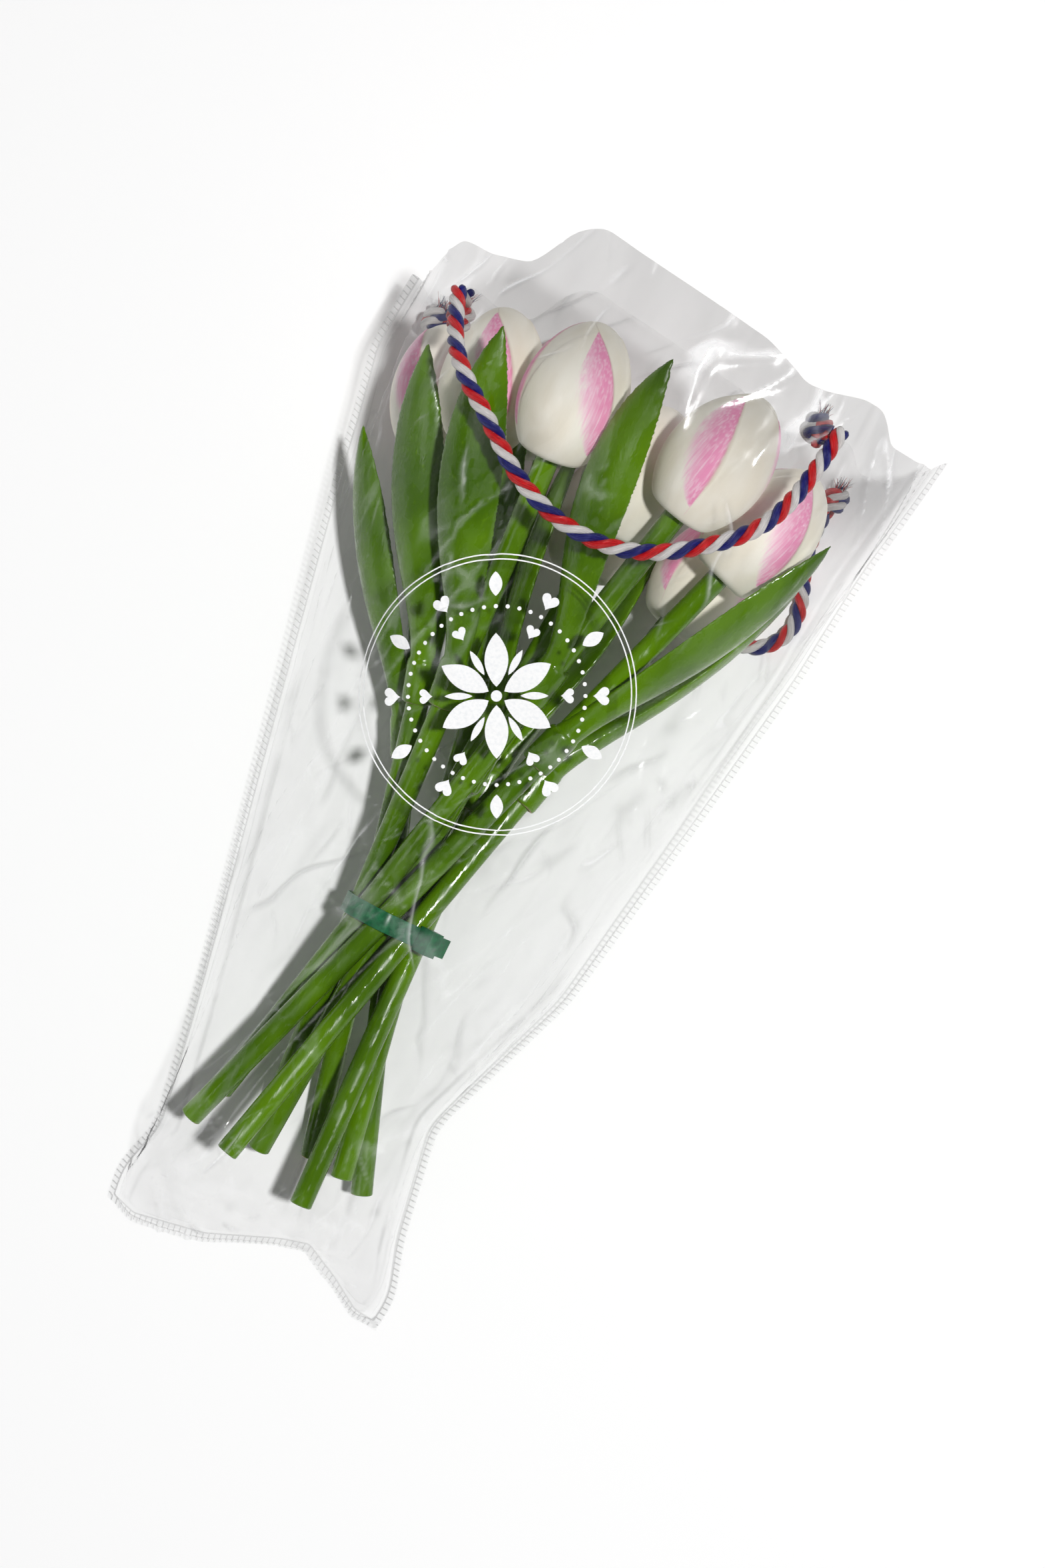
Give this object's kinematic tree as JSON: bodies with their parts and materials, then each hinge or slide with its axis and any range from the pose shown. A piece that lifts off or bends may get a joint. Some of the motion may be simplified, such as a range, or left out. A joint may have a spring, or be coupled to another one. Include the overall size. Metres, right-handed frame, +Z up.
{
  "type": "wooden tulips",
  "caption": "Bunch of carved and painted wooden tulips held by a cable tie, in a clear tapered gift bag with rope handles.",
  "frame": {"origin": "under the middle of the lying bag, on the surface that it lies on", "axes": "+Y along the bag from its bottom weld to its open mouth, +Z up through the front film, +X to the right seen from above"},
  "size_m": [0.215, 0.396, 0.1287],
  "materials": {
    "flower_paint": "satin varnish over cream and pink paint",
    "green_paint": "gloss green paint on turned and carved wood",
    "tie_nylon": "smooth moulded nylon",
    "clear_film": "clear soft film",
    "satin_rope": "red, white and navy satin strands"
  },
  "bodies": {
    "bag": {"front_film": "clear_film", "back_film": "clear_film", "front_left_knot": "satin_rope", "front_right_knot": "satin_rope", "rear_left_knot": "satin_rope", "rear_right_knot": "satin_rope"},
    "bunch": {"stem_1": "green_paint", "stem_2": "green_paint", "stem_3": "green_paint", "stem_4": "green_paint", "stem_5": "green_paint", "stem_6": "green_paint", "stem_7": "green_paint", "stem_8": "green_paint", "stem_9": "green_paint", "flower_head_1": "flower_paint", "flower_head_2": "flower_paint", "flower_head_3": "flower_paint", "flower_head_4": "flower_paint", "flower_head_5": "flower_paint", "flower_head_6": "flower_paint", "flower_head_7": "flower_paint", "flower_head_8": "flower_paint", "flower_head_9": "flower_paint", "leaf_1": "green_paint", "leaf_2": "green_paint", "leaf_3": "green_paint", "leaf_4": "green_paint", "leaf_5": "green_paint", "leaf_6": "green_paint", "leaf_7": "green_paint", "leaf_8": "green_paint", "leaf_9": "green_paint", "cable_tie": "tie_nylon"},
    "front_grip": {"front_handle": "satin_rope"},
    "rear_grip": {"rear_handle": "satin_rope"}
  },
  "joints": [
    {"name": "bunch_slide", "type": "slide", "parent": "bag", "child": "bunch", "axis": [0, 0.9998, 0.0223], "range_m": [0, 0.4]},
    {"name": "front_handle_swing", "type": "hinge", "parent": "bag", "child": "front_grip", "pos_m": [-0.07898, 0.16181, 0.1085], "axis": [-0.9949, -0.0711, -0.0718], "range_deg": [0, 110]},
    {"name": "rear_handle_swing", "type": "hinge", "parent": "bag", "child": "rear_grip", "pos_m": [-0.09297, 0.16592, 0.00305], "axis": [1, 0, 0], "range_deg": [0, 175]}
  ]
}
